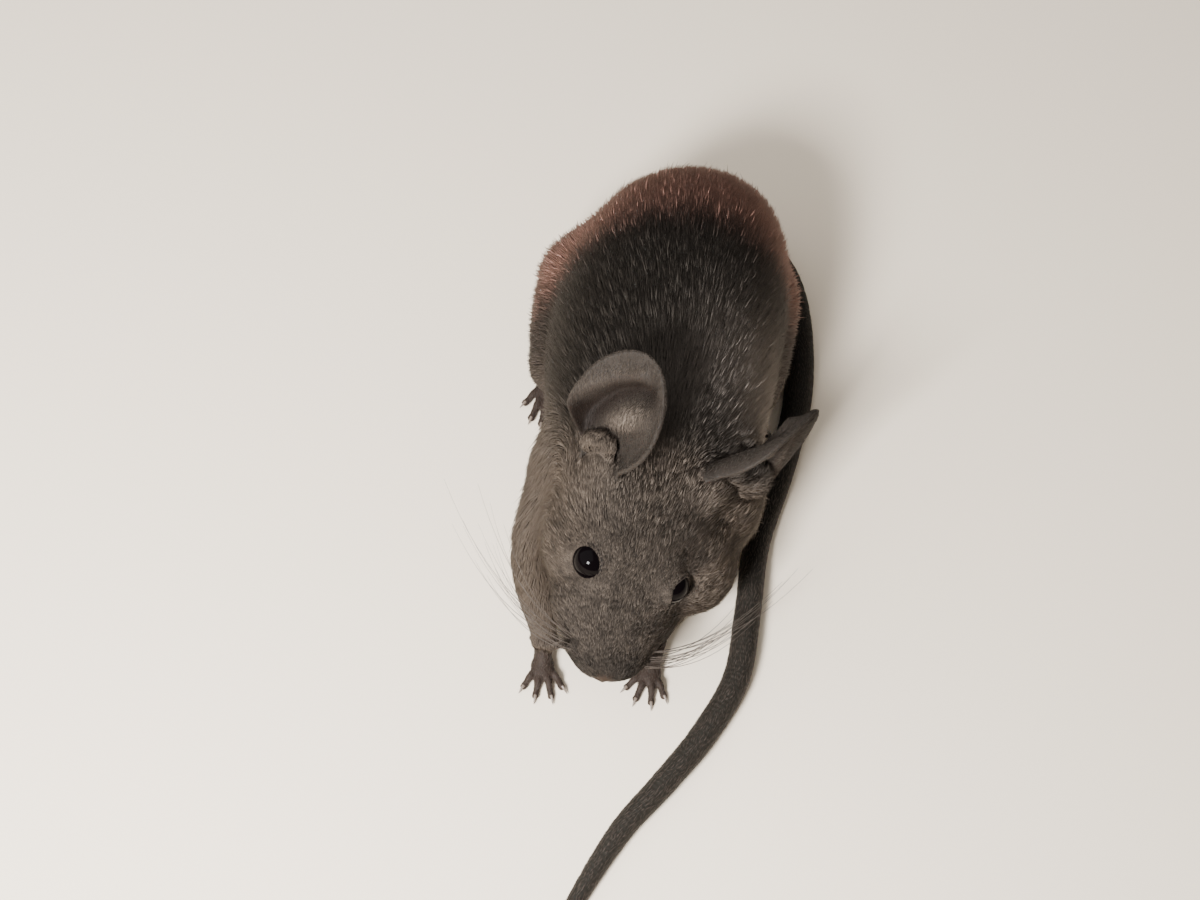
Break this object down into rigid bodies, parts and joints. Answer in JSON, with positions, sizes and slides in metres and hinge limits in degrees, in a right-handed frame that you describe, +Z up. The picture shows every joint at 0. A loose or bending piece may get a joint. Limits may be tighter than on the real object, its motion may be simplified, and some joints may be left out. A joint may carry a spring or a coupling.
{
  "type": "house mouse",
  "caption": "Life-size model of a crouching house mouse, head cocked to one side, tail brought forward along its left side; rests on belly, feet and tail.",
  "frame": {"origin": "middle of the bounding box seen from above, on the floor plane", "axes": "-Y the way the mouse faces, +X its left side, +Z up; +Y runs from tail tip to rump along the longest extent"},
  "size_m": [0.0416, 0.0954, 0.0323],
  "materials": {
    "fur": "dark grey-brown agouti coat",
    "nose_skin": "moist bare skin",
    "eye": "wet black",
    "pinna": "thin skin under sparse short hair",
    "foot_skin": "bare skin",
    "tail_skin": "ringed scales under sparse hair"
  },
  "bodies": {
    "root": {"trunk": "fur", "neck": "fur", "head": "fur", "foreleg_right": "fur", "foreleg_left": "fur", "hindleg_right": "fur", "hindleg_left": "fur", "whiskers_right": "fur", "whiskers_left": "fur", "nose": "nose_skin", "eye_right": "eye", "eye_left": "eye", "ear_right": "pinna", "ear_left": "pinna", "forefoot_right": "foot_skin", "forefoot_left": "foot_skin", "hindfoot_right": "foot_skin", "hindfoot_left": "foot_skin", "tail_1": "tail_skin", "tail_2": "tail_skin", "tail_3": "tail_skin", "tail_4": "tail_skin", "tail_5": "tail_skin"}
  },
  "joints": []
}
